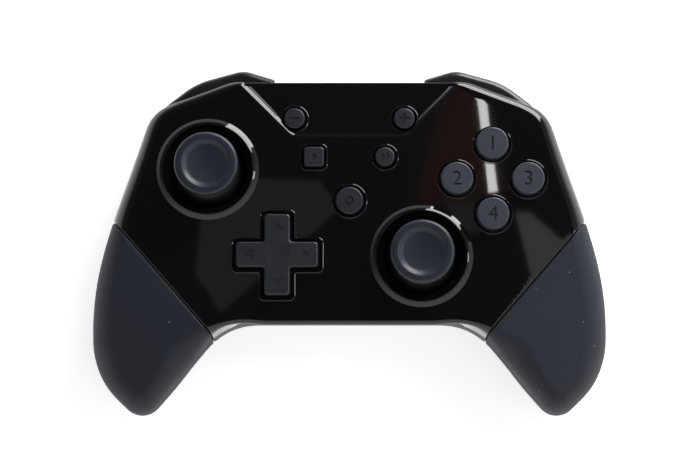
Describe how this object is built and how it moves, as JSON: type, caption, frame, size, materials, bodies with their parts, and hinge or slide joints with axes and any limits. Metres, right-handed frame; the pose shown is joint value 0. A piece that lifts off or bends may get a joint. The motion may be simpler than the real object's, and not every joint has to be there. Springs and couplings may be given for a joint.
{
  "type": "gamepad controller",
  "caption": "Two-handed wireless gamepad with offset thumbsticks, a direction pad, round face buttons, shoulder bumpers and triggers; rests on its back.",
  "frame": {"origin": "middle of the overall box in X and Y, on the surface that the gamepad lies on", "axes": "+X to the right of a person looking at the face, +Y towards the shoulder edge, +Z out of the face"},
  "size_m": [0.152, 0.1024, 0.044],
  "materials": {
    "front_shell": "high gloss black",
    "back_shell": "fine matte black",
    "grip": "soft-touch charcoal",
    "bumper": "satin dark grey",
    "trigger": "satin black",
    "stick_cap": "matte black",
    "stick_shaft": "plain",
    "stick_module": "plain",
    "dpad": "satin black",
    "button": "satin gloss black",
    "inner_plastic": "plain",
    "membrane": "plain",
    "board": "solder mask",
    "steel": "plain",
    "socket": "plain",
    "battery": "wrapped cell",
    "lead": "insulated wire",
    "motor": "drawn can",
    "weight": "plain"
  },
  "bodies": {
    "case": {"front_shell": "front_shell", "back_shell": "back_shell", "left_grip": "grip", "right_grip": "grip", "case_screws": "steel", "grip_screws": "steel", "left_stick_housing": "stick_module", "right_stick_housing": "stick_module", "dpad_seat": "inner_plastic", "left_bumper_pin": "steel", "right_bumper_pin": "steel", "left_trigger_pin": "steel", "right_trigger_pin": "steel", "left_trigger_spring": "steel", "right_trigger_spring": "steel", "left_shoulder_bracket": "inner_plastic", "right_shoulder_bracket": "inner_plastic", "left_shoulder_board": "board", "right_shoulder_board": "board", "face_button_membrane": "membrane", "dpad_membrane": "membrane", "menu_membrane": "membrane", "button_board": "board", "main_board": "board", "board_screws": "steel", "usb_socket": "socket", "battery": "battery", "battery_lead": "lead", "left_rumble_motor": "motor", "right_rumble_motor": "motor", "left_motor_lead": "lead", "right_motor_lead": "lead"},
    "left_stick_carriage": {"left_stick_carriage": "stick_module"},
    "left_stick_yoke": {"left_stick_yoke": "stick_module"},
    "left_stick": {"left_stick_shaft": "stick_shaft", "left_stick_cap": "stick_cap"},
    "right_stick_carriage": {"right_stick_carriage": "stick_module"},
    "right_stick_yoke": {"right_stick_yoke": "stick_module"},
    "right_stick": {"right_stick_shaft": "stick_shaft", "right_stick_cap": "stick_cap"},
    "dpad_spider": {"dpad_spider": "inner_plastic"},
    "dpad": {"dpad": "dpad"},
    "face_button_up": {"face_button_up": "button"},
    "face_button_left": {"face_button_left": "button"},
    "face_button_right": {"face_button_right": "button"},
    "face_button_down": {"face_button_down": "button"},
    "minus_button": {"minus_button": "button"},
    "plus_button": {"plus_button": "button"},
    "home_button": {"home_button": "button"},
    "capture_button": {"capture_button": "button"},
    "turbo_button": {"turbo_button": "button"},
    "pairing_button": {"pairing_button": "button"},
    "left_bumper": {"left_bumper": "bumper"},
    "left_trigger": {"left_trigger": "trigger"},
    "left_rumble_weight": {"left_rumble_weight": "weight"},
    "right_bumper": {"right_bumper": "bumper"},
    "right_trigger": {"right_trigger": "trigger"},
    "right_rumble_weight": {"right_rumble_weight": "weight"}
  },
  "joints": [
    {"name": "left_stick_carriage_press", "type": "slide", "parent": "case", "child": "left_stick_carriage", "axis": [0, 0, -1], "range_m": [0, 0.0006], "stiffness_N_per_m": 3000},
    {"name": "left_stick_tilt_y", "type": "hinge", "parent": "left_stick_carriage", "child": "left_stick_yoke", "pos_m": [-0.0415, 0.02, 0.0235], "axis": [1, 0, 0], "range_deg": [-16, 16], "stiffness_Nm_per_rad": 0.06},
    {"name": "left_stick_tilt_x", "type": "hinge", "parent": "left_stick_yoke", "child": "left_stick", "pos_m": [-0.0415, 0.02, 0.0235], "axis": [0, 1, 0], "range_deg": [-16, 16], "stiffness_Nm_per_rad": 0.06},
    {"name": "right_stick_carriage_press", "type": "slide", "parent": "case", "child": "right_stick_carriage", "axis": [0, 0, -1], "range_m": [0, 0.0006], "stiffness_N_per_m": 3000},
    {"name": "right_stick_tilt_y", "type": "hinge", "parent": "right_stick_carriage", "child": "right_stick_yoke", "pos_m": [0.021, -0.0057, 0.0235], "axis": [1, 0, 0], "range_deg": [-16, 16], "stiffness_Nm_per_rad": 0.06},
    {"name": "right_stick_tilt_x", "type": "hinge", "parent": "right_stick_yoke", "child": "right_stick", "pos_m": [0.021, -0.0057, 0.0235], "axis": [0, 1, 0], "range_deg": [-16, 16], "stiffness_Nm_per_rad": 0.06},
    {"name": "dpad_rock_y", "type": "hinge", "parent": "case", "child": "dpad_spider", "pos_m": [-0.021, -0.0055, 0.0285], "axis": [1, 0, 0], "range_deg": [-5, 5], "stiffness_Nm_per_rad": 0.15, "deforming": ["dpad_membrane"]},
    {"name": "dpad_rock_x", "type": "hinge", "parent": "dpad_spider", "child": "dpad", "pos_m": [-0.021, -0.0055, 0.0285], "axis": [0, 1, 0], "range_deg": [-5, 5], "stiffness_Nm_per_rad": 0.15, "deforming": ["dpad_membrane"]},
    {"name": "face_button_up_press", "type": "slide", "parent": "case", "child": "face_button_up", "axis": [0, 0, -1], "range_m": [0, 0.0015], "stiffness_N_per_m": 400, "deforming": ["face_button_membrane"]},
    {"name": "face_button_left_press", "type": "slide", "parent": "case", "child": "face_button_left", "axis": [0, 0, -1], "range_m": [0, 0.0015], "stiffness_N_per_m": 400, "deforming": ["face_button_membrane"]},
    {"name": "face_button_right_press", "type": "slide", "parent": "case", "child": "face_button_right", "axis": [0, 0, -1], "range_m": [0, 0.0015], "stiffness_N_per_m": 400, "deforming": ["face_button_membrane"]},
    {"name": "face_button_down_press", "type": "slide", "parent": "case", "child": "face_button_down", "axis": [0, 0, -1], "range_m": [0, 0.0015], "stiffness_N_per_m": 400, "deforming": ["face_button_membrane"]},
    {"name": "minus_button_press", "type": "slide", "parent": "case", "child": "minus_button", "axis": [0, 0, -1], "range_m": [0, 0.0008], "stiffness_N_per_m": 600, "deforming": ["menu_membrane"]},
    {"name": "plus_button_press", "type": "slide", "parent": "case", "child": "plus_button", "axis": [0, 0, -1], "range_m": [0, 0.0008], "stiffness_N_per_m": 600, "deforming": ["menu_membrane"]},
    {"name": "home_button_press", "type": "slide", "parent": "case", "child": "home_button", "axis": [0, 0, -1], "range_m": [0, 0.0008], "stiffness_N_per_m": 600, "deforming": ["menu_membrane"]},
    {"name": "capture_button_press", "type": "slide", "parent": "case", "child": "capture_button", "axis": [0, 0, -1], "range_m": [0, 0.0008], "stiffness_N_per_m": 600, "deforming": ["menu_membrane"]},
    {"name": "turbo_button_press", "type": "slide", "parent": "case", "child": "turbo_button", "axis": [0, 0, -1], "range_m": [0, 0.0008], "stiffness_N_per_m": 600, "deforming": ["menu_membrane"]},
    {"name": "pairing_button_press", "type": "slide", "parent": "case", "child": "pairing_button", "axis": [0, -1, 0], "range_m": [0, 0.0005], "stiffness_N_per_m": 600},
    {"name": "left_bumper_press", "type": "hinge", "parent": "case", "child": "left_bumper", "pos_m": [-0.0272, 0.0426, 0.0246], "axis": [0, 0, 1], "range_deg": [0, 2.2], "stiffness_Nm_per_rad": 0.8},
    {"name": "left_trigger_pull", "type": "hinge", "parent": "case", "child": "left_trigger", "pos_m": [-0.04405, 0.04032, 0.0152], "axis": [-0.9357, -0.3529, 0], "range_deg": [0, 12], "stiffness_Nm_per_rad": 0.12, "deforming": ["left_trigger_spring"]},
    {"name": "left_rumble_spin", "type": "hinge", "parent": "case", "child": "left_rumble_weight", "pos_m": [-0.06, -0.034, 0.013], "axis": [0, 1, 0], "continuous": true},
    {"name": "right_bumper_press", "type": "hinge", "parent": "case", "child": "right_bumper", "pos_m": [0.0272, 0.0426, 0.0246], "axis": [0, 0, -1], "range_deg": [0, 2.2], "stiffness_Nm_per_rad": 0.8},
    {"name": "right_trigger_pull", "type": "hinge", "parent": "case", "child": "right_trigger", "pos_m": [0.04405, 0.04032, 0.0152], "axis": [-0.9357, 0.3529, 0], "range_deg": [0, 12], "stiffness_Nm_per_rad": 0.12, "deforming": ["right_trigger_spring"]},
    {"name": "right_rumble_spin", "type": "hinge", "parent": "case", "child": "right_rumble_weight", "pos_m": [0.06, -0.034, 0.013], "axis": [0, 1, 0], "continuous": true}
  ]
}
